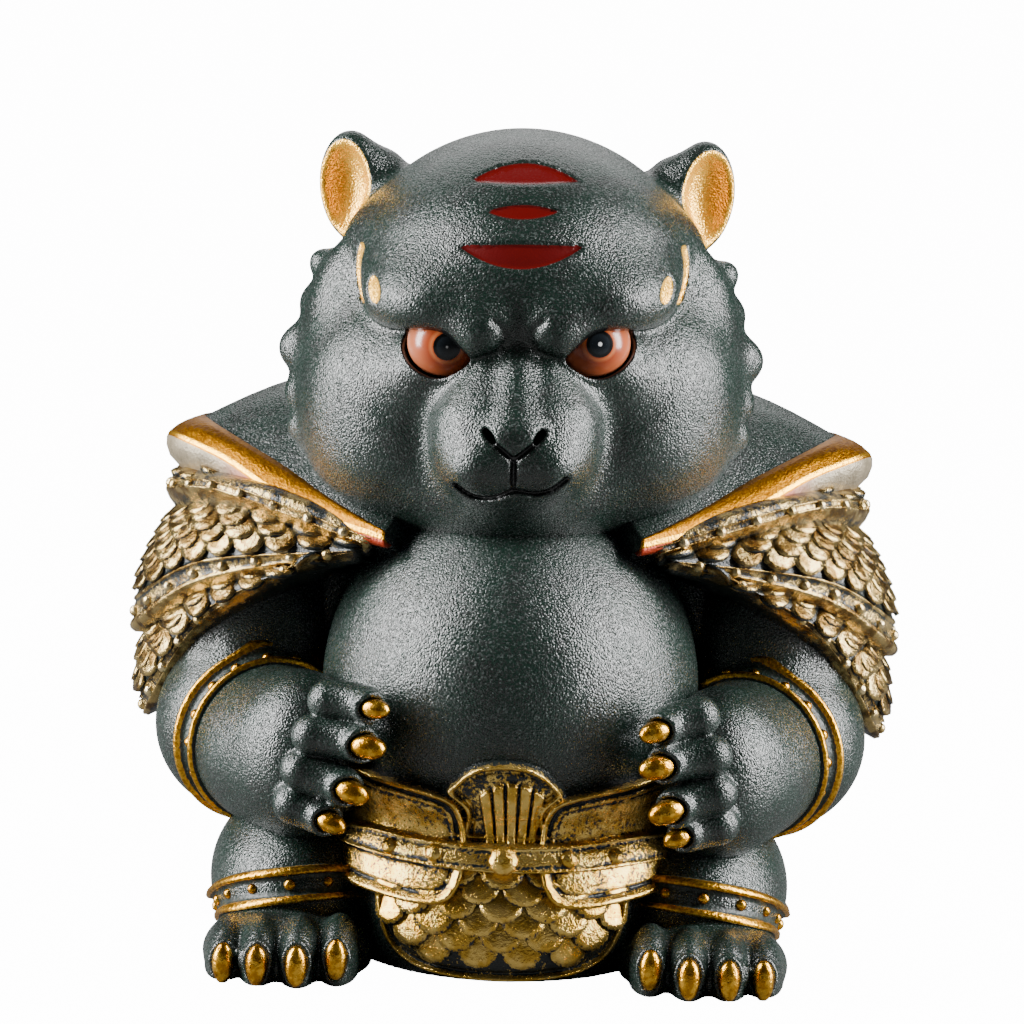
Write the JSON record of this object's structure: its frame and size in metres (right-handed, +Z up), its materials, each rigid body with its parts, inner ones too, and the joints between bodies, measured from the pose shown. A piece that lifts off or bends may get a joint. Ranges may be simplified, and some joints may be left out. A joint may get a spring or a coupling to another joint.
{
  "type": "tiger tea pet",
  "caption": "Small seated tiger figure in scale armour for a tea tray: dark green clay with gilded armour, claws and ear linings.",
  "frame": {"origin": "on the underside, on the figure's middle plane, below the head", "axes": "+Z up, -Y to the figure's front, +X across it to the viewer's right"},
  "size_m": [0.1082, 0.0843, 0.1124],
  "materials": {
    "dark_clay": "fine sandy satin clay, dark green-grey",
    "gilding": "gold paint, rubbed over dark clay on the armour and bright on claws and ears",
    "red_lacquer": "dark red gloss paint",
    "eye_paint": "glossy painted eyes, orange with black pupils"
  },
  "bodies": {
    "root": {"tiger_figure": "dark_clay"}
  },
  "joints": []
}
